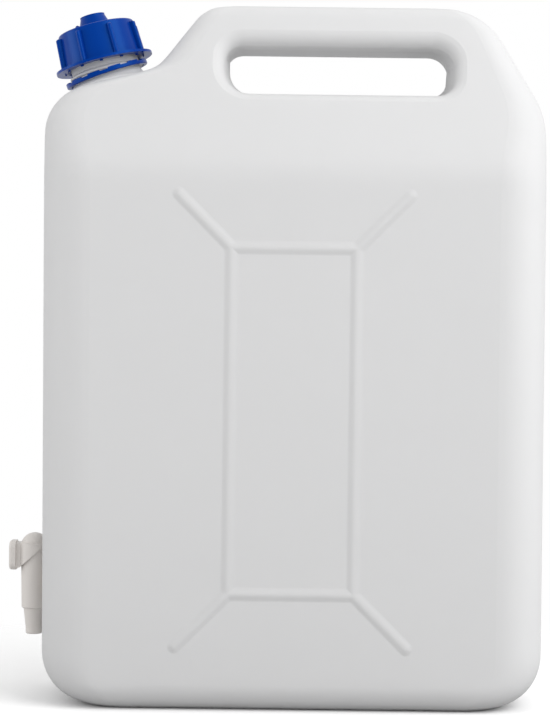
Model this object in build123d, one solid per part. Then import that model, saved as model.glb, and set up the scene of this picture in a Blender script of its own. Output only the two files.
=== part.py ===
from build123d import *
import math
import os

# A flat blow-moulded water can with a handle hole, a ribbed screw cap that
# carries a flip-up vent, and a tap screwed into the foot of one narrow side.
# Millimetres. The can stands on the plane z = 0 with the origin at the centre
# of its base. X runs along the broad face towards the handle's far end, and the
# broad front face looks towards -Y. The neck and the tap are on the -X side.

# Can: overall form
body_width = 340.0
body_height = 475.0
body_depth = 124.0
wall = 1.8
foot_draw_in = 3.0
foot_corner_radius = 36.0
foot_edge_radius = 18.0
side_round_share = 0.55
taper_start = 360.0
taper_bend_radius = 60.0
top_depth = 44.0
top_edge_radius = 14.0

# Can: shoulder that carries the neck, and the two upper corners
neck_tilt = 15.0
shoulder_drop = 44.2
shoulder_run = 75.3
shoulder_corner_radius = 33.0
valley_radius = 25.0
handle_rise_run = 33.7
handle_left_radius = 27.0
right_shoulder_drop = 74.0
right_shoulder_run = 43.0
right_shoulder_radius = 60.0
handle_right_radius = 47.0

# Can: handle hole, with one radius for each corner from the upper left clockwise
hole_left = 45.5
hole_right = 105.0
hole_end_lean = 2.0
hole_height = 31.0
hole_below_top = 28.0
hole_radii = (9.0, 12.0, 9.0, 15.0)
hole_draft = 6.0
hole_lip_radius = 9.0

# Can: shallow panel in the base
base_panel_length = 210.0
base_panel_width = 52.0
base_panel_depth = 1.2

# Neck
neck_along_shoulder = 33.8
neck_diameter = 47.0
neck_bore = 42.0
neck_root_radius = 4.0
cap_above_shoulder = 13.9
bead_diameter = 51.0
bead_height = 2.6
bead_below_cap = 3.4

# Screw cap
cap_height = 26.0
cap_flange_diameter = 67.4
cap_flange_thickness = 1.8
cap_skirt_bottom = 57.0
cap_skirt_top = 52.8
cap_bore = 49.6
cap_mouth = 53.0
cap_mouth_depth = 3.0
cap_top_thickness = 2.2
cap_edge_radius = 1.4
cap_crown_rise = 1.6
cap_rib_count = 8
cap_rib_width = 3.0
cap_rib_bottom = 62.6
cap_rib_top = 60.0
cap_rib_below_top = 3.0
cap_stub_count = 12
cap_stub_width = 2.2
cap_stub_height = 0.9

# Sealing disc in the cap
liner_thickness = 1.2
liner_clearance = 0.3

# Vent: a short spout on the cap with a lid on a strap
vent_bore = 5.0
spout_diameter = 9.0
spout_height = 4.0
vent_lid_top = 17.2
vent_lid_bottom = 21.6
vent_lid_height = 7.2
vent_lid_wall = 1.6
vent_lid_above_cap = 0.3
vent_plug_clearance = 0.3
vent_strap_foot = 0.45
vent_strap_width = 7.0
vent_strap_thickness = 1.0
vent_strap_reach = 13.2
vent_tab_reach = 12.6
vent_tab_thickness = 1.0

# Loose ring left on the neck when the cap was first opened
band_diameter = 58.0
band_bore = 54.4
band_height = 3.2
band_lip = 0.9
band_notch_count = 12
band_notch_depth = 0.9
band_notch_share = 0.4
band_below_cap = 8.2
band_side_lean = 4.4
band_front_lean = 3.0

# Tap
tap_axis_out = 8.7
tap_inlet_height = 78.0
barrel_top_diameter = 19.0
barrel_bottom_diameter = 17.4
barrel_bottom = 59.7
barrel_top = 99.0
barrel_bore = 13.6
nozzle_top_diameter = 14.6
nozzle_tip_diameter = 11.4
nozzle_bore = 8.4
nozzle_bottom = 42.2
nozzle_tip_length = 4.0
inlet_diameter = 12.0
inlet_bore = 7.0
tap_flange_diameter = 29.0
tap_flange_thickness = 2.6
spigot_diameter = 19.6
spigot_length = 13.0
gasket_thickness = 2.0
gasket_diameter = 27.0
tap_recess_depth = 7.0
tap_recess_width = 44.0
tap_recess_bottom = 48.0
tap_recess_top = 120.0
tap_recess_radius = 12.0
boss_clearance = 0.2
boss_wall = 3.0
boss_length = 15.0

# Tap plug with its lever
plug_clearance = 0.06
plug_wall = 1.7
plug_below_inlet = 9.0
port_diameter = 7.0
knob_diameter = 18.6
knob_height = 13.0
dome_rise = 6.8
hood_clearance = 0.4
hood_wall = 1.2
hood_drop = 11.0
lever_reach = 13.0
lever_width = 12.0
paddle_thickness = 4.6
paddle_width = 17.0
paddle_height = 20.2
paddle_above_hood = 1.4

# Worked out from the sizes above
half_width = body_width / 2
half_depth = body_depth / 2
valley_height = body_height - shoulder_drop
valley_left = half_width - shoulder_run
shoulder_slope = math.tan(math.radians(neck_tilt))
port_height = tap_inlet_height

steps_per_arc = 5
smallest_step = 1.5
guard_step = 3.0
lip_steps = 4
lip_angle = 72.0


class Side:
    """One rising side of the can: straight runs joined by tangent arcs."""

    def __init__(self, corners, radii, inset):
        points = [(0.0, 0.0)] + corners + [(0.0, corners[-1][1])]
        runs = []
        for start, end in zip(points, points[1:]):
            length = math.dist(start, end)
            along = ((end[0] - start[0]) / length, (end[1] - start[1]) / length)
            foot = (start[0] - along[1] * inset, start[1] + along[0] * inset)
            runs.append((foot, along))
        self.arcs = []
        for (foot, along), (next_foot, next_along), radius in zip(runs, runs[1:], radii):
            self.arcs.append(self.arc(foot, along, next_foot, next_along, radius, inset))

    @staticmethod
    def arc(foot, along, next_foot, next_along, radius, inset):
        turn = along[0] * next_along[1] - along[1] * next_along[0]
        gap = (next_foot[0] - foot[0], next_foot[1] - foot[1])
        reach = (gap[0] * next_along[1] - gap[1] * next_along[0]) / turn
        corner = (foot[0] + along[0] * reach, foot[1] + along[1] * reach)
        bulge = math.copysign(1.0, turn)
        radius = radius - bulge * inset
        angle = math.acos(along[0] * next_along[0] + along[1] * next_along[1])
        back = radius * math.tan(angle / 2)
        first = (corner[0] - along[0] * back, corner[1] - along[1] * back)
        last = (corner[0] + next_along[0] * back, corner[1] + next_along[1] * back)
        centre = (first[0] - bulge * along[1] * radius, first[1] + bulge * along[0] * radius)
        return first, last, centre, radius, bulge

    def at(self, height):
        """How far the side stands out from the middle at a height."""
        before = self.arcs[0][0]
        for first, last, centre, radius, bulge in self.arcs:
            if height < first[1]:
                share = (height - before[1]) / (first[1] - before[1])
                return before[0] + share * (first[0] - before[0])
            if height <= last[1]:
                rise = min(abs(height - centre[1]), radius)
                return centre[0] + bulge * math.sqrt(radius**2 - rise**2)
            before = last
        return before[0]

    def heights(self):
        """Heights spread evenly by angle over every arc."""
        found = []
        for first, last, centre, radius, bulge in self.arcs:
            lower = math.asin(max(-1.0, (first[1] - centre[1]) / radius))
            upper = math.asin(min(1.0, (last[1] - centre[1]) / radius))
            for step in range(steps_per_arc + 1):
                angle = lower + (upper - lower) * step / steps_per_arc
                found.append(centre[1] + radius * math.sin(angle))
        return found


def left_side(inset):
    corners = [
        (half_width - foot_draw_in, 0.0),
        (half_width, valley_height - shoulder_run * shoulder_slope),
        (valley_left, valley_height),
        (valley_left - handle_rise_run, body_height),
    ]
    radii = [foot_corner_radius, shoulder_corner_radius, valley_radius, handle_left_radius]
    return Side(corners, radii, inset)


def right_side(inset):
    corners = [
        (half_width, 0.0),
        (half_width, body_height - right_shoulder_drop),
        (half_width - right_shoulder_run, body_height),
    ]
    return Side(corners, [foot_corner_radius, right_shoulder_radius, handle_right_radius], inset)


def depth_side(inset):
    corners = [(half_depth, 0.0), (half_depth, taper_start), (top_depth / 2, body_height)]
    return Side(corners, [foot_edge_radius, taper_bend_radius, top_edge_radius], inset)


def section_heights():
    """Heights of the sections below and above the can's straight middle."""
    heights = [0.0]
    sides = left_side(0.0).heights() + right_side(0.0).heights() + depth_side(0.0).heights()
    for height in sorted(sides):
        if heights[-1] + smallest_step < height < body_height - smallest_step:
            heights.append(height)
    heights.append(body_height)
    gaps = [high - low for low, high in zip(heights, heights[1:])]
    plain = gaps.index(max(gaps))
    lower = heights[: plain + 1] + [heights[plain] + guard_step * step for step in (1, 2)]
    upper = [heights[plain + 1] - guard_step * step for step in (2, 1)] + heights[plain + 1 :]
    return lower, upper


def can_form(inset):
    """The can without neck, handle hole or recess, with every face moved in by inset."""
    left = left_side(inset)
    right = right_side(inset)
    depth = depth_side(inset)

    def section(share):
        height = inset + share * (body_height - 2 * inset)
        reach_left = left.at(height)
        reach_right = right.at(height)
        half = depth.at(height)
        corner = side_round_share * (half + inset) - inset
        outline = RectangleRounded(reach_left + reach_right, 2 * half, corner)
        return Pos((reach_right - reach_left) / 2, 0, height) * outline

    lower, upper = section_heights()
    lower_sections = [section(height / body_height) for height in lower]
    upper_sections = [section(height / body_height) for height in upper]
    straight = loft([lower_sections[-1], upper_sections[0]], ruled=True)
    return loft(lower_sections) + straight + loft(upper_sections)


def hole_outline(grow):
    """The handle hole's outline about its own centre, widened all round by grow."""
    left = -hole_left - grow
    right = hole_right + grow
    half = hole_height / 2 + grow
    corners = [(left, half), (right, half), (right - hole_end_lean, -half), (left, -half)]
    radii = [radius + grow for radius in hole_radii]
    return make_face(FilletPolyline([(x, z) for x, z in corners], radius=radii, close=True))


def handle_tunnel(inset):
    """What the handle hole takes away: drafted from the middle, then rounded lips."""
    middle = body_height - hole_below_top - hole_height / 2
    lean = math.atan((half_depth - top_depth / 2) / (body_height - taper_start))
    face = depth_side(inset).at(middle)
    lip = hole_lip_radius - inset
    flare = (face - lip) * math.tan(math.radians(hole_draft))
    centre = Plane(origin=(0, 0, middle), x_dir=(1, 0, 0), z_dir=(0, -1, 0))

    def leaning(depth, grow):
        outward = (0, -math.cos(lean), math.sin(lean))
        origin = (0, -face - outward[1] * depth, middle - outward[2] * depth)
        return Plane(origin=origin, x_dir=(1, 0, 0), z_dir=outward) * hole_outline(grow)

    lips = []
    for step in range(lip_steps + 1):
        angle = math.radians(lip_angle * step / lip_steps)
        depth = lip * (1 - math.sin(angle))
        lips.append(leaning(depth, inset + flare + lip * (1 - math.cos(angle))))
    beyond = lip * math.sin(math.radians(lip_angle))
    above = lip * math.cos(math.radians(lip_angle))
    last = lip - beyond
    lips.append(leaning(last - above, inset + flare + lip - above + beyond))
    core = loft([centre * hole_outline(inset), lips[0]], ruled=True)
    front = core + loft(lips)
    return front + mirror(front, about=Plane.XZ)


def tap_wall():
    """Where the narrow side stands at the height of the tap's inlet."""
    return -left_side(0.0).at(tap_inlet_height)


def recess_floor():
    return tap_wall() + tap_recess_depth


def tap_recess(inset):
    """The pocket in the narrow side that the tap sits in."""
    height = tap_recess_top - tap_recess_bottom
    outline = RectangleRounded(
        tap_recess_width + 2 * inset, height + 2 * inset, tap_recess_radius + inset
    )
    floor = recess_floor() + inset
    start = floor - 3 * tap_recess_depth
    middle = (tap_recess_top + tap_recess_bottom) / 2
    face = Plane(origin=(start, 0, middle), x_dir=(0, 1, 0), z_dir=(1, 0, 0)) * outline
    pocket = extrude(face, floor - start, dir=(1, 0, 0))
    rim = pocket.edges().group_by(Axis.X)[-1]
    return fillet(rim, tap_recess_depth / 2)


def base_panel(inset):
    outline = RectangleRounded(
        base_panel_length + 2 * inset, base_panel_width + 2 * inset, base_panel_width / 4
    )
    return extrude(outline, base_panel_depth + inset)


def neck_plane(above_shoulder):
    """A plane square to the neck, that far above the shoulder."""
    tilt = math.radians(neck_tilt)
    foot_x = -valley_left - neck_along_shoulder
    foot_z = valley_height - neck_along_shoulder * shoulder_slope
    origin = (
        foot_x - above_shoulder * math.sin(tilt),
        0,
        foot_z + above_shoulder * math.cos(tilt),
    )
    return Plane(
        origin=origin,
        x_dir=(math.cos(tilt), 0, math.sin(tilt)),
        z_dir=(-math.sin(tilt), 0, math.cos(tilt)),
    )


def turned(points):
    """A solid turned about Z from its half section."""
    section = make_face(Polyline([(x, 0, z) for x, z in points], close=True))
    return revolve(section, Axis.Z)


def neck_height():
    return cap_above_shoulder + cap_height - cap_top_thickness - liner_thickness


def neck():
    """Neck with its flared root and the bead that held the ring, in its own plane."""
    outer = neck_diameter / 2
    buried = neck_root_radius
    tube = Cylinder(outer, neck_height() + buried, align=(Align.CENTER, Align.CENTER, Align.MIN))
    tube = Pos(0, 0, -buried) * tube
    rim = tube.edges().group_by(Axis.Z)[-1]
    tube = fillet(rim, 1.0)
    root = turned([(0, -buried), (outer + 2 * buried, -buried), (outer, 2 * buried), (0, 2 * buried)])
    cove = Pos(0, 0, 2 * buried) * Torus(outer + 2 * buried, 2 * buried)
    bead_top = cap_above_shoulder - bead_below_cap
    bead = turned([
        (0, bead_top - bead_height),
        (bead_diameter / 2, bead_top - bead_height),
        (bead_diameter / 2, bead_top - bead_height / 2),
        (outer, bead_top),
        (0, bead_top),
    ])
    return neck_plane(0.0).location * (tube + (root - cove) + bead)


def neck_hole():
    length = neck_height() + 6 * neck_root_radius
    hole = Cylinder(neck_bore / 2, length, align=(Align.CENTER, Align.CENTER, Align.MAX))
    return neck_plane(neck_height()).location * hole


def along_x(radius, start, end):
    """A round bar along X through the tap's inlet, from start to end."""
    base = Plane(origin=(start, 0, tap_inlet_height), z_dir=(1, 0, 0))
    return extrude(base * Circle(radius), end - start)


def can_body():
    outer = can_form(0.0) - handle_tunnel(0.0) - tap_recess(0.0) - base_panel(0.0)
    cavity = can_form(wall) - handle_tunnel(wall) - tap_recess(wall) - base_panel(wall)
    boss_radius = spigot_diameter / 2 + boss_clearance + boss_wall
    cavity = cavity - along_x(boss_radius, recess_floor() + wall / 2, recess_floor() + boss_length)
    body = outer + neck() - (cavity + neck_hole())
    bore = spigot_diameter / 2 + boss_clearance
    return body - along_x(bore, recess_floor() - wall, recess_floor() + boss_length + 1)


def cap_outer_radius(height):
    share = height / cap_height
    return (cap_skirt_bottom + share * (cap_skirt_top - cap_skirt_bottom)) / 2


def screw_cap():
    """Skirt, flange, crown, ribs and vent spout, from the flange's underside up."""
    top = cap_height
    inside = top - cap_top_thickness
    shell = turned([
        (0, 0),
        (cap_flange_diameter / 2, 0),
        (cap_flange_diameter / 2, cap_flange_thickness),
        (cap_outer_radius(cap_flange_thickness), cap_flange_thickness),
        (cap_outer_radius(top), top),
        (0, top),
    ])
    edge = shell.edges().filter_by(GeomType.CIRCLE).group_by(Axis.Z)[-1]
    shell = fillet(edge, cap_edge_radius)
    crown_base = cap_outer_radius(top) - cap_edge_radius
    ball = (crown_base**2 + cap_crown_rise**2) / (2 * cap_crown_rise)
    crown = Pos(0, 0, top + cap_crown_rise - ball) * Sphere(ball)
    crown = crown & Pos(0, 0, top) * Cylinder(crown_base, 2 * cap_crown_rise)
    shell = shell + crown
    rib_top = top - cap_rib_below_top
    rib = make_face(Polyline([
        (0, 0, cap_flange_thickness / 2),
        (cap_rib_bottom / 2, 0, cap_flange_thickness / 2),
        (cap_rib_top / 2, 0, rib_top),
        (0, 0, rib_top),
    ], close=True))
    rib = extrude(rib, cap_rib_width / 2, dir=(0, 1, 0), both=True)
    ends = rib.edges().filter_by_position(Axis.X, cap_rib_top / 2 - 1, cap_rib_bottom / 2 + 1)
    rib = fillet([edge for edge in ends if edge.length > cap_rib_width / 2], cap_rib_width / 2 - 0.1)
    first_rib = 180.0 / cap_rib_count
    ribs = [Rot(0, 0, turn) * rib for turn in spaced(cap_rib_count, first_rib)]
    shell = shell + ribs
    mouth = turned([
        (0, 0),
        (cap_mouth / 2, 0),
        (cap_bore / 2, cap_mouth_depth),
        (cap_bore / 2, inside),
        (0, inside),
    ])
    shell = shell - mouth
    stub_middle = (cap_mouth / 2 + cap_skirt_bottom / 2) / 2
    stub = Pos(stub_middle, 0, -cap_stub_height / 2) * Box(
        cap_stub_width / 2, cap_stub_width, cap_stub_height
    )
    shell = shell + [Rot(0, 0, turn) * stub for turn in spaced(cap_stub_count, 0.0)]
    spout = Cylinder(spout_diameter / 2, spout_height, align=(Align.CENTER, Align.CENTER, Align.MIN))
    shell = shell + Pos(0, 0, top) * spout
    return shell - Pos(0, 0, top) * Cylinder(vent_bore / 2, 4 * spout_height)


def spaced(count, first):
    return [first + 360.0 * index / count for index in range(count)]


def cap_liner():
    """Soft disc that seals the cap on the neck's rim, open in the middle for the vent."""
    top = cap_height - cap_top_thickness
    bottom = top - liner_thickness
    outside = cap_bore / 2 - liner_clearance
    return turned([
        (vent_bore, bottom),
        (outside, bottom),
        (outside, top),
        (vent_bore, top),
    ])


def vent_lid():
    """Hollow lid with a stopper, a strap on the left and a lifting tab on the right."""
    bottom = cap_height + cap_crown_rise + vent_lid_above_cap
    top = bottom + vent_lid_height
    slope = (vent_lid_bottom - vent_lid_top) / 2
    lid = turned([
        (0, bottom),
        (vent_lid_bottom / 2, bottom),
        (vent_lid_top / 2, top - slope / 2),
        (vent_lid_top / 2, top),
        (0, top),
    ])
    hollow = turned([
        (0, bottom),
        (vent_lid_bottom / 2 - vent_lid_wall, bottom),
        (vent_lid_top / 2 - vent_lid_wall, top - vent_lid_wall),
        (0, top - vent_lid_wall),
    ])
    lid = lid - hollow
    stopper_radius = vent_bore / 2 - vent_plug_clearance
    stopper_length = vent_lid_height - vent_lid_wall / 2
    stopper = Cylinder(stopper_radius, stopper_length, align=(Align.CENTER, Align.CENTER, Align.MAX))
    lid = lid + Pos(0, 0, top - vent_lid_wall / 2) * stopper
    tab = Box(
        vent_tab_reach, vent_strap_width, vent_tab_thickness,
        align=(Align.MIN, Align.CENTER, Align.MIN),
    )
    inner = vent_lid_bottom / 2 - vent_lid_wall
    tab = Pos(0, 0, bottom) * tab - Pos(0, 0, bottom) * Cylinder(inner, 4 * vent_tab_thickness)
    return lid + tab + vent_strap(bottom)


def vent_strap(bottom):
    """The arched strap that the lid swings on."""
    start = vent_lid_bottom / 2 - vent_lid_wall / 2
    middle = (start + vent_strap_reach) / 2
    radius = (vent_strap_reach - start) / 2
    arch = Plane(origin=(-middle, 0, bottom + vent_strap_thickness), z_dir=(0, -1, 0))
    ring = Circle(radius) - Circle(radius - vent_strap_thickness)
    strap = extrude(arch * ring, vent_strap_width / 2, both=True)
    above = Pos(-middle, 0, bottom) * Box(
        4 * radius, 2 * vent_strap_width, 4 * radius, align=(Align.CENTER, Align.CENTER, Align.MIN)
    )
    foot = Pos(-vent_strap_reach, 0, bottom - vent_strap_foot) * Box(
        vent_strap_thickness, vent_strap_width, vent_strap_foot + radius,
        align=(Align.MIN, Align.CENTER, Align.MIN),
    )
    return (strap & above) + foot


def tamper_band():
    """Ring torn off the cap, notched along its upper edge."""
    outside = band_diameter / 2
    inside = band_bore / 2
    ring = turned([
        (inside - band_lip, 0),
        (outside - band_lip / 2, 0),
        (outside, band_lip / 2),
        (outside, band_height),
        (inside, band_height),
        (inside, band_lip),
        (inside - band_lip, band_lip),
    ])
    pitch = math.pi * band_diameter / band_notch_count
    notch = Pos(outside, 0, band_height) * Box(
        4 * (outside - inside), pitch * band_notch_share, 2 * band_notch_depth
    )
    return ring - [Rot(0, 0, turn) * notch for turn in spaced(band_notch_count, 0.0)]


def tap_axis():
    return tap_wall() - tap_axis_out


def at_tap(piece):
    return Pos(tap_axis(), 0, 0) * piece


def tap_body():
    """Barrel, hose nozzle, inlet pipe, flange and threaded spigot, moulded in one."""
    tip = nozzle_tip_diameter / 2
    barrel = turned([
        (0, nozzle_bottom),
        (tip, nozzle_bottom),
        (tip, nozzle_bottom + nozzle_tip_length),
        (nozzle_top_diameter / 2, barrel_bottom),
        (barrel_bottom_diameter / 2 - 1, barrel_bottom),
        (barrel_bottom_diameter / 2, barrel_bottom + 1),
        (barrel_top_diameter / 2, barrel_top),
        (0, barrel_top),
    ])
    barrel = fillet(barrel.edges().group_by(Axis.Z)[0], 1.2)
    sealing_face = recess_floor() - gasket_thickness
    pipe = along_x(inlet_diameter / 2, tap_axis(), sealing_face)
    flange = along_x(tap_flange_diameter / 2, sealing_face - tap_flange_thickness, sealing_face)
    flange = fillet(flange.edges().group_by(Axis.X)[0], 1.0)
    spigot = along_x(spigot_diameter / 2, sealing_face, recess_floor() + spigot_length)
    spigot = chamfer(spigot.edges().group_by(Axis.X)[-1], 1.0)
    body = at_tap(barrel) + pipe + flange + spigot
    seat = port_height - plug_below_inlet - 1
    bore = Pos(0, 0, seat) * Cylinder(
        barrel_bore / 2, barrel_top - seat + 1, align=(Align.CENTER, Align.CENTER, Align.MIN)
    )
    outlet = Pos(0, 0, nozzle_bottom - 1) * Cylinder(
        nozzle_bore / 2, seat - nozzle_bottom + 2, align=(Align.CENTER, Align.CENTER, Align.MIN)
    )
    inlet = along_x(inlet_bore / 2, tap_axis(), recess_floor() + spigot_length + 1)
    return body - at_tap(bore) - at_tap(outlet) - inlet


def tap_gasket():
    """Flat ring between the tap's flange and the floor of the recess."""
    ring = along_x(gasket_diameter / 2, recess_floor() - gasket_thickness, recess_floor())
    hole = spigot_diameter / 2 + boss_clearance
    return ring - along_x(hole, recess_floor() - 2 * gasket_thickness, recess_floor() + 1)


def tap_plug():
    """Hollow plug with a side port, a domed knob, a hood over the barrel and a paddle."""
    foot = port_height - plug_below_inlet
    stem_radius = barrel_bore / 2 - plug_clearance
    stem = Pos(0, 0, foot) * Cylinder(
        stem_radius, barrel_top - foot, align=(Align.CENTER, Align.CENTER, Align.MIN)
    )
    knob_top = barrel_top + knob_height - dome_rise
    knob = Pos(0, 0, barrel_top) * Cylinder(
        knob_diameter / 2, knob_top - barrel_top, align=(Align.CENTER, Align.CENTER, Align.MIN)
    )
    ball = ((knob_diameter / 2) ** 2 + dome_rise**2) / (2 * dome_rise)
    dome = Pos(0, 0, knob_top + dome_rise - ball) * Sphere(ball)
    above = Pos(0, 0, knob_top) * Cylinder(
        knob_diameter, 2 * dome_rise, align=(Align.CENTER, Align.CENTER, Align.MIN)
    )
    knob = knob + (dome & above)
    hood_inside = barrel_top_diameter / 2 + hood_clearance
    hood_outside = hood_inside + hood_wall
    hood_low = barrel_top - hood_drop
    hood_face = Circle(hood_outside) + Pos(-lever_reach / 2, 0) * Rectangle(lever_reach, lever_width)
    hood = extrude(Pos(0, 0, hood_low) * hood_face, knob_top - hood_low)
    room = Pos(0, 0, hood_low - 1) * Cylinder(
        hood_inside, barrel_top - hood_low + 1, align=(Align.CENTER, Align.CENTER, Align.MIN)
    )
    hood = hood - room
    slope = make_face(Polyline([
        (-hood_inside, 0, hood_low - 1),
        (3 * hood_outside, 0, hood_low - 1),
        (3 * hood_outside, 0, knob_top + 1),
        (hood_outside, 0, knob_top + 1),
        (2.5, 0, barrel_top),
        (-hood_inside, 0, hood_low),
    ], close=True))
    hood = hood - extrude(slope, 2 * hood_outside, dir=(0, 1, 0), both=True)
    paddle_top = knob_top + paddle_above_hood
    paddle = Box(
        paddle_thickness, paddle_width, paddle_height, align=(Align.MAX, Align.CENTER, Align.MAX)
    )
    paddle = Pos(-lever_reach + 0.6, 0, paddle_top) * paddle
    paddle = fillet(paddle.edges().filter_by(Axis.X), 5.0)
    paddle = fillet(paddle.edges().group_by(Axis.X)[0], 1.8)
    plug = stem + knob + hood + paddle
    bore = Pos(0, 0, foot - 1) * Cylinder(
        stem_radius - plug_wall, barrel_top - foot, align=(Align.CENTER, Align.CENTER, Align.MIN)
    )
    port = Plane(origin=(0, 0, port_height), z_dir=(0, -1, 0))
    port = extrude(port * Circle(port_diameter / 2), 2 * stem_radius)
    return at_tap(plug - bore - port)


def on_cap(piece):
    return neck_plane(cap_above_shoulder).location * piece


def on_band(piece):
    place = neck_plane(cap_above_shoulder - band_below_cap).location
    return place * Rot(0, -band_side_lean, 0) * Rot(band_front_lean, 0, 0) * piece


parts = {
    "can_body": can_body(),
    "tamper_band": on_band(tamper_band()),
    "cap_liner": on_cap(cap_liner()),
    "screw_cap": on_cap(screw_cap()),
    "vent_lid": on_cap(vent_lid()),
    "tap_gasket": tap_gasket(),
    "tap_body": tap_body(),
    "tap_plug": tap_plug(),
}

os.makedirs("parts", exist_ok=True)
for name, part in parts.items():
    export_step(part, f"parts/{name}.step")
    box = part.bounding_box()
    print(name, len(part.solids()), "solids", round(part.volume), "mm3",
          [round(v, 1) for v in (*box.min, *box.max)])
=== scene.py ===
import math

import bpy
from mathutils import Matrix, Vector


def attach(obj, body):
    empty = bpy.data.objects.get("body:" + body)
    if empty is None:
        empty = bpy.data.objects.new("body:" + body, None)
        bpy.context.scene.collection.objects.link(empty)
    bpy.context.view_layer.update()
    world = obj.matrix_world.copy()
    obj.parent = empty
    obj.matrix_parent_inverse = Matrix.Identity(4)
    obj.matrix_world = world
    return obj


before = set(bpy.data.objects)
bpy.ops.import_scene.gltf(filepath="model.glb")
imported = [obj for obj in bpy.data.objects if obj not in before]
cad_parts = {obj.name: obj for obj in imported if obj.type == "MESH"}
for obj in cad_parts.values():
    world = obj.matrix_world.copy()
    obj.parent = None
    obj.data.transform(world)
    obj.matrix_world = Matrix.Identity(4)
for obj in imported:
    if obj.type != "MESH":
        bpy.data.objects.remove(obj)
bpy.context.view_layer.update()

# Looks of a flat blow-moulded water can: materials, moulded-in detail that the
# solids leave out, and a plain white studio. Metres, in the frame's own axes.

MM = 0.001

# The ridges moulded into both broad faces
RIDGE_HALF_WIDTH = 41.5 * MM
RIDGE_TOP = 307 * MM
RIDGE_BOTTOM = 78 * MM
RIDGE_LEG = 35 * MM
RIDGE_HALF = 5.0 * MM
RIDGE_HEIGHT = 1.1 * MM

# The neck, as a plane square to it on the shoulder
NECK_FOOT = Vector((-128.5, 0, 421.74)) * MM
NECK_TILT = math.radians(15)
NECK_RADIUS = 23.5 * MM
THREAD_PITCH = 6 * MM
THREAD_DEPTH = 0.95 * MM
THREAD_START = 17 * MM
THREAD_TURNS = 2.0
CAP_BORE_RADIUS = 24.8 * MM

# The photograph's view
CAMERA_PLACE = Vector((-12, -1380, 233.3)) * MM
CAMERA_ROLL = math.radians(-0.7)
CAMERA_LENS = 100.0


class Nodes:
    """Short way to add and join shader nodes."""

    def __init__(self, tree):
        self.tree = tree
        tree.nodes.clear()

    def add(self, kind, **values):
        node = self.tree.nodes.new(kind)
        for name, value in values.items():
            setattr(node, name, value)
        return node

    def join(self, source, target):
        self.tree.links.new(source, target)

    def math(self, operation, first, second=0.0, third=0.0, clamp=False):
        node = self.add("ShaderNodeMath", operation=operation, use_clamp=clamp)
        for place, value in enumerate((first, second, third)):
            self.put(node.inputs[place], value)
        return node.outputs[0]

    def vector(self, operation, first, second=(0, 0, 0), scale=1.0):
        node = self.add("ShaderNodeVectorMath", operation=operation)
        self.put(node.inputs[0], first)
        if operation == "SCALE":
            self.put(node.inputs["Scale"], scale)
        else:
            self.put(node.inputs[1], second)
        return node.outputs["Value" if operation in ("DOT_PRODUCT", "DISTANCE") else "Vector"]

    def put(self, target, value):
        if isinstance(value, bpy.types.NodeSocket):
            self.join(value, target)
        else:
            target.default_value = value


def plastic(name, color, roughness, grain=0.0, grain_size=900.0, glow=0.0, shine=0.5, tint=(1, 1, 1)):
    """A moulded plastic: one colour, a soft sheen, a fine grain and a share of light let through."""
    material = bpy.data.materials.new(name)
    material.use_nodes = True
    nodes = Nodes(material.node_tree)
    surface = nodes.add("ShaderNodeBsdfPrincipled")
    output = nodes.add("ShaderNodeOutputMaterial")
    if glow:
        through = nodes.add("ShaderNodeBsdfTranslucent")
        through.inputs["Color"].default_value = (*color, 1)
        mix = nodes.add("ShaderNodeMixShader")
        mix.inputs[0].default_value = glow
        nodes.join(surface.outputs[0], mix.inputs[1])
        nodes.join(through.outputs[0], mix.inputs[2])
        nodes.join(mix.outputs[0], output.inputs[0])
    else:
        nodes.join(surface.outputs[0], output.inputs[0])
    surface.inputs["Base Color"].default_value = (*color, 1)
    surface.inputs["Roughness"].default_value = roughness
    surface.inputs["IOR"].default_value = 1.5
    surface.inputs["Specular IOR Level"].default_value = shine
    surface.inputs["Specular Tint"].default_value = (*tint, 1)
    if grain:
        place = nodes.add("ShaderNodeTexCoord")
        noise = nodes.add("ShaderNodeTexNoise")
        noise.inputs["Scale"].default_value = grain_size
        noise.inputs["Detail"].default_value = 3.0
        bump = nodes.add("ShaderNodeBump")
        bump.inputs["Strength"].default_value = grain
        bump.inputs["Distance"].default_value = 0.0002
        nodes.join(place.outputs["Object"], noise.inputs["Vector"])
        nodes.join(noise.outputs["Fac"], bump.inputs["Height"])
        nodes.join(bump.outputs[0], surface.inputs["Normal"])
    return material


def ridge_lines():
    """The rectangle and the four legs that run out of its corners, as x and z pairs."""
    corners = [
        (-RIDGE_HALF_WIDTH, RIDGE_BOTTOM, -1, -1),
        (RIDGE_HALF_WIDTH, RIDGE_BOTTOM, 1, -1),
        (RIDGE_HALF_WIDTH, RIDGE_TOP, 1, 1),
        (-RIDGE_HALF_WIDTH, RIDGE_TOP, -1, 1),
    ]
    lines = []
    for (x, z, out, up), (next_x, next_z, _, _) in zip(corners, corners[1:] + corners[:1]):
        lines.append(((x, z), (next_x, next_z)))
        lines.append(((x, z), (x + out * RIDGE_LEG, z + up * RIDGE_LEG)))
    return lines


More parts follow.
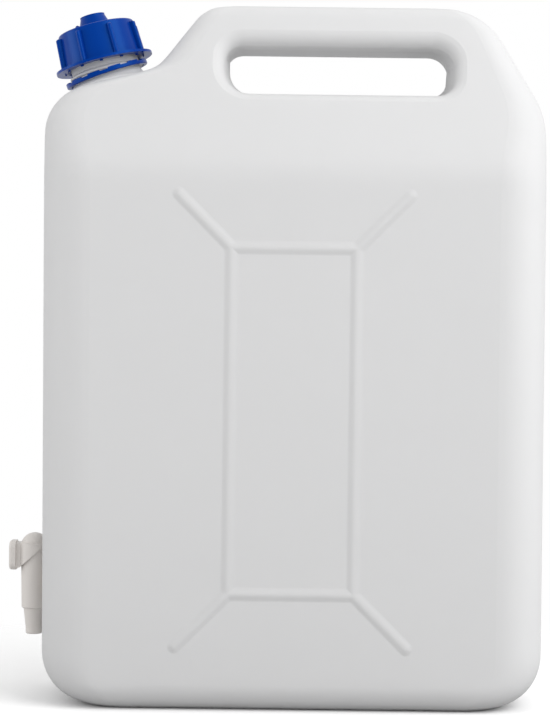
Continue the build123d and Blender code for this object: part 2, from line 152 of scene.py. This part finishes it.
def ridge_relief(nodes, place):
    """Height of the ridges over the broad faces, from the distance to their middle lines."""
    flat = nodes.vector("MULTIPLY", place, (1, 0, 1))
    nearest = 1.0
    for start, end in ridge_lines():
        way = Vector((end[0] - start[0], 0, end[1] - start[1]))
        beside = nodes.vector("SUBTRACT", flat, (start[0], 0, start[1]))
        share = nodes.vector("DOT_PRODUCT", beside, tuple(way / way.length_squared))
        share = nodes.math("MULTIPLY", share, 1.0, clamp=True)
        foot = nodes.vector("SCALE", tuple(way), scale=share)
        distance = nodes.vector("DISTANCE", beside, foot)
        nearest = nodes.math("SMOOTH_MIN", nearest, distance, 0.001)
    across = nodes.math("DIVIDE", nearest, RIDGE_HALF, clamp=True)
    round_top = nodes.math("SUBTRACT", 1.0, nodes.math("POWER", across, 2.0))
    round_top = nodes.math("POWER", round_top, 2.0)
    depth = nodes.add("ShaderNodeSeparateXYZ")
    nodes.join(place, depth.inputs[0])
    broad = nodes.math("GREATER_THAN", nodes.math("ABSOLUTE", depth.outputs["Y"]), 0.055)
    return nodes.math("MULTIPLY", nodes.math("MULTIPLY", round_top, broad), RIDGE_HEIGHT)


def can_plastic():
    """Natural blow-moulded plastic with its ridges, parting line and faint waviness."""
    material = plastic("can_plastic", (0.80, 0.80, 0.803), 0.5, glow=0.3, shine=0.3)
    tree = material.node_tree
    surface = next(node for node in tree.nodes if node.type == "BSDF_PRINCIPLED")
    nodes = Nodes.__new__(Nodes)
    nodes.tree = tree
    place = nodes.add("ShaderNodeTexCoord").outputs["Object"]
    ridges = ridge_relief(nodes, place)
    waves = nodes.add("ShaderNodeTexNoise")
    waves.inputs["Scale"].default_value = 16.0
    waves.inputs["Detail"].default_value = 1.0
    nodes.join(place, waves.inputs["Vector"])
    wave_height = nodes.math("MULTIPLY", waves.outputs["Fac"], 0.0006)
    depth = nodes.add("ShaderNodeSeparateXYZ")
    nodes.join(place, depth.inputs[0])
    off_middle = nodes.math("ABSOLUTE", depth.outputs["Y"])
    seam = nodes.math("SUBTRACT", 1.0, nodes.math("DIVIDE", off_middle, 0.0006, clamp=True))
    seam = nodes.math("MULTIPLY", seam, 0.0003)
    total = nodes.math("ADD", nodes.math("ADD", ridges, wave_height), seam)
    bump = nodes.add("ShaderNodeBump")
    bump.inputs["Strength"].default_value = 1.0
    bump.inputs["Distance"].default_value = 1.0
    nodes.join(total, bump.inputs["Height"])
    nodes.join(bump.outputs[0], surface.inputs["Normal"])
    return material


def neck_place(above):
    """Matrix that puts a piece modelled about Z onto the neck's axis."""
    turn = Matrix.Rotation(-NECK_TILT, 4, "Y")
    return Matrix.Translation(NECK_FOOT) @ turn @ Matrix.Translation((0, 0, above))


def thread(name, radius, depth, start, turns, material):
    """A rounded helical ridge that fades in and out at its ends."""
    steps = int(turns * 72)
    profile = [(-1.3, -0.3), (-0.7, 0.85), (-0.3, 1.0), (0.3, 1.0), (0.7, 0.85), (1.3, -0.3)]
    vertices = []
    faces = []
    for step in range(steps + 1):
        share = step / steps
        fade = min(1.0, 8 * share, 8 * (1 - share))
        angle = turns * share * math.tau
        height = start + turns * share * THREAD_PITCH
        for up, out in profile:
            reach = radius + depth * (out * fade if out > 0 else out)
            vertices.append((reach * math.cos(angle), reach * math.sin(angle), height + up * MM))
    count = len(profile)
    for step in range(steps):
        for side in range(count):
            low = step * count + side
            high = step * count + (side + 1) % count
            faces.append((low, high, high + count, low + count))
    faces.append(tuple(range(count))[::-1])
    faces.append(tuple(steps * count + side for side in range(count)))
    mesh = bpy.data.meshes.new(name)
    mesh.from_pydata(vertices, [], faces)
    if depth < 0:
        mesh.flip_normals()
    mesh.transform(neck_place(0.0))
    mesh.polygons.foreach_set("use_smooth", [True] * len(mesh.polygons))
    mesh.materials.append(material)
    ridge = bpy.data.objects.new(name, mesh)
    bpy.context.scene.collection.objects.link(ridge)
    return ridge


def dress(node, material):
    """Gives a CAD node its material."""
    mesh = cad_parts[node].data
    mesh.materials.clear()
    mesh.materials.append(material)


def area_light(name, place, target, size, power, color=(1, 1, 1)):
    light = bpy.data.lights.new(name, "AREA")
    light.shape = "RECTANGLE"
    light.size, light.size_y = size
    light.energy = power
    light.color = color
    lamp = bpy.data.objects.new(name, light)
    lamp.location = place
    lamp.rotation_euler = (Vector(target) - Vector(place)).to_track_quat("-Z", "Y").to_euler()
    bpy.context.scene.collection.objects.link(lamp)


def white_world():
    """Plain white where the camera looks past the can, and a softer grey fill light."""
    world = bpy.data.worlds.new("studio")
    world.use_nodes = True
    bpy.context.scene.world = world
    nodes = Nodes(world.node_tree)
    output = nodes.add("ShaderNodeOutputWorld")
    seen = nodes.add("ShaderNodeBackground")
    seen.inputs["Color"].default_value = (1, 1, 1, 1)
    seen.inputs["Strength"].default_value = 1.0
    fill = nodes.add("ShaderNodeBackground")
    fill.inputs["Color"].default_value = (1, 1, 1, 1)
    fill.inputs["Strength"].default_value = 0.78
    path = nodes.add("ShaderNodeLightPath")
    direct = nodes.math("MAXIMUM", path.outputs["Is Camera Ray"], path.outputs["Is Transmission Ray"])
    mix = nodes.add("ShaderNodeMixShader")
    nodes.join(direct, mix.inputs[0])
    nodes.join(fill.outputs[0], mix.inputs[1])
    nodes.join(seen.outputs[0], mix.inputs[2])
    nodes.join(mix.outputs[0], output.inputs[0])


def floor():
    """A pale floor that fades out to the white background away from the can."""
    mesh = bpy.data.meshes.new("floor")
    reach = 1.2
    mesh.from_pydata([(-reach, -reach, 0), (reach, -reach, 0), (reach, reach, 0), (-reach, reach, 0)],
                     [], [(0, 1, 2, 3)])
    material = bpy.data.materials.new("floor")
    material.use_nodes = True
    nodes = Nodes(material.node_tree)
    output = nodes.add("ShaderNodeOutputMaterial")
    pale = nodes.add("ShaderNodeBsdfDiffuse")
    pale.inputs["Color"].default_value = (1, 1, 1, 1)
    dull = nodes.add("ShaderNodeBsdfDiffuse")
    dull.inputs["Color"].default_value = (0.55, 0.55, 0.55, 1)
    path = nodes.add("ShaderNodeLightPath")
    shown = nodes.add("ShaderNodeMixShader")
    nodes.join(path.outputs["Is Camera Ray"], shown.inputs[0])
    nodes.join(dull.outputs[0], shown.inputs[1])
    nodes.join(pale.outputs[0], shown.inputs[2])
    clear = nodes.add("ShaderNodeBsdfTransparent")
    place = nodes.add("ShaderNodeTexCoord").outputs["Object"]
    away = nodes.vector("DISTANCE", place, (0, 0, 0))
    fade = nodes.math("DIVIDE", nodes.math("SUBTRACT", away, 0.19), 0.3, clamp=True)
    mix = nodes.add("ShaderNodeMixShader")
    nodes.join(fade, mix.inputs[0])
    nodes.join(shown.outputs[0], mix.inputs[1])
    nodes.join(clear.outputs[0], mix.inputs[2])
    nodes.join(mix.outputs[0], output.inputs[0])
    mesh.materials.append(material)
    ground = bpy.data.objects.new("floor", mesh)
    bpy.context.scene.collection.objects.link(ground)


def camera():
    view = bpy.data.cameras.new("photo_view")
    view.lens = CAMERA_LENS
    view.sensor_width = 36.0
    view.clip_start = 0.01
    eye = bpy.data.objects.new("photo_view", view)
    eye.location = CAMERA_PLACE
    eye.rotation_euler = (math.radians(90), CAMERA_ROLL, 0)
    bpy.context.scene.collection.objects.link(eye)
    bpy.context.scene.camera = eye


natural = can_plastic()
blue = plastic("cap_plastic", (0.0, 0.030, 0.25), 0.3, grain=0.12, shine=0.4, tint=(0.08, 0.4, 1.0))
off_white = plastic("tap_plastic", (0.69, 0.655, 0.625), 0.36, grain=0.1)
foam = plastic("liner_foam", (0.85, 0.85, 0.84), 0.8)
rubber = plastic("gasket_rubber", (0.03, 0.03, 0.03), 0.6)

dress("can_body", natural)
dress("screw_cap", blue)
dress("vent_lid", blue)
dress("tamper_band", blue)
dress("tap_body", off_white)
dress("tap_plug", off_white)
dress("cap_liner", foam)
dress("tap_gasket", rubber)

neck_thread = thread("neck_thread", NECK_RADIUS, THREAD_DEPTH, THREAD_START, THREAD_TURNS, natural)
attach(neck_thread, "can")

cap_start = THREAD_START + THREAD_PITCH / 2
cap_thread = thread("cap_thread", CAP_BORE_RADIUS, -THREAD_DEPTH, cap_start, THREAD_TURNS, blue)
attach(cap_thread, "cap")

white_world()
floor()
camera()
area_light("key", (1.2, -1.1, 1.5), (0.03, 0, 0.28), (1.4, 1.4), 21)
area_light("front", (0.5, -2.2, 1.0), (0.05, 0, 0.30), (1.2, 1.2), 3)
area_light("top", (0.1, 0.2, 1.7), (0, 0, 0.3), (1.4, 1.0), 2)
area_light("left", (-1.7, -0.3, 0.5), (-0.15, 0, 0.2), (0.8, 0.8), 5)
area_light("right", (1.7, -0.2, 0.5), (0.15, 0, 0.25), (0.8, 0.8), 6)

scene = bpy.context.scene
scene.view_settings.view_transform = "Standard"
